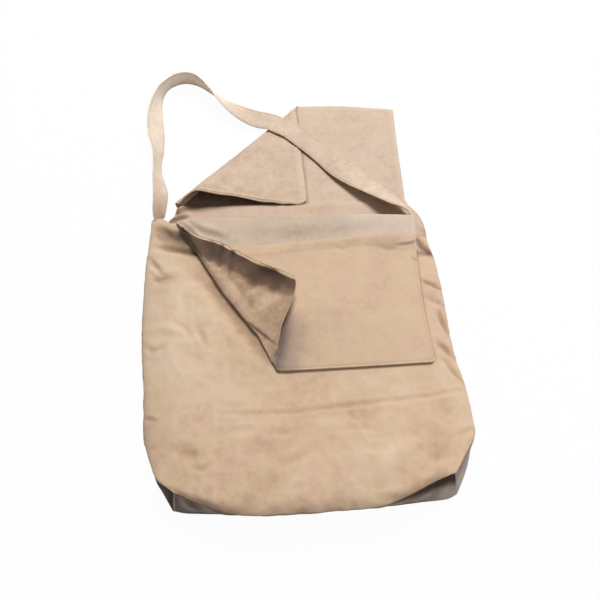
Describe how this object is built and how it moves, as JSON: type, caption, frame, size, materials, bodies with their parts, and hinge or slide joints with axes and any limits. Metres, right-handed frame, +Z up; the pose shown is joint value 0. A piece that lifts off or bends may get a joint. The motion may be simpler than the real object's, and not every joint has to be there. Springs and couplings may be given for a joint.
{
  "type": "corduroy shoulder bag",
  "caption": "Soft flat shoulder bag lying on its back, with a boxed base, an open cover flap, a pocket flap turned down over the front and one long strap.",
  "frame": {"origin": "on the underside of the back panel, under the middle of the bag", "axes": "+X across the bag to its right as seen from above, +Y from the base to the mouth and the open flap, +Z up from the surface that the bag lies on"},
  "size_m": [0.4072, 0.7444, 0.051],
  "materials": {
    "corduroy": "matt fine corduroy, warm tan",
    "hem_cloth": "matt cloth, paler tan, on the strap, the hems and the flap's inner face",
    "base_cloth": "matt grey brown cloth of the boxed base"
  },
  "bodies": {
    "pouch": {"back_panel": "corduroy", "front_panel": "corduroy", "base_panel": "base_cloth", "base_corner_left": "base_cloth", "base_corner_right": "base_cloth", "side_seam_left": "corduroy", "side_seam_right": "corduroy", "base_seam_allowance": "base_cloth", "strap_tail_left": "hem_cloth", "strap_tail_right": "hem_cloth"},
    "cover_flap": {"cover_flap": "corduroy", "cover_flap_folded_corner": "corduroy", "cover_flap_corner_hem": "hem_cloth"},
    "pocket_flap": {"pocket_flap": "hem_cloth", "pocket_flap_folded_corner": "corduroy", "pocket_flap_corner_hem": "hem_cloth", "pocket_front": "corduroy", "pocket_mouth_hem": "corduroy"},
    "strap": {"shoulder_strap": "hem_cloth"}
  },
  "joints": [
    {"name": "cover_flap_fold", "type": "hinge", "parent": "pouch", "child": "cover_flap", "pos_m": [0, 0.218, 0.0008], "axis": [0.9985, -0.0539, 0], "range_deg": [0, 90]},
    {"name": "strap_swing", "type": "hinge", "parent": "pouch", "child": "strap", "pos_m": [-0.1865, 0.21607, 0.011], "axis": [0.9982, -0.0539, 0.0274], "range_deg": [0, 100]},
    {"name": "pocket_flap_lift", "type": "hinge", "parent": "pouch", "child": "pocket_flap", "pos_m": [0, 0.1895, 0.031], "axis": [-0.9985, 0.0539, 0], "range_deg": [0, 60]}
  ],
  "couplings": [
    {"joint": "strap_swing", "follows": "cover_flap_fold", "ratio": 1.11}
  ]
}
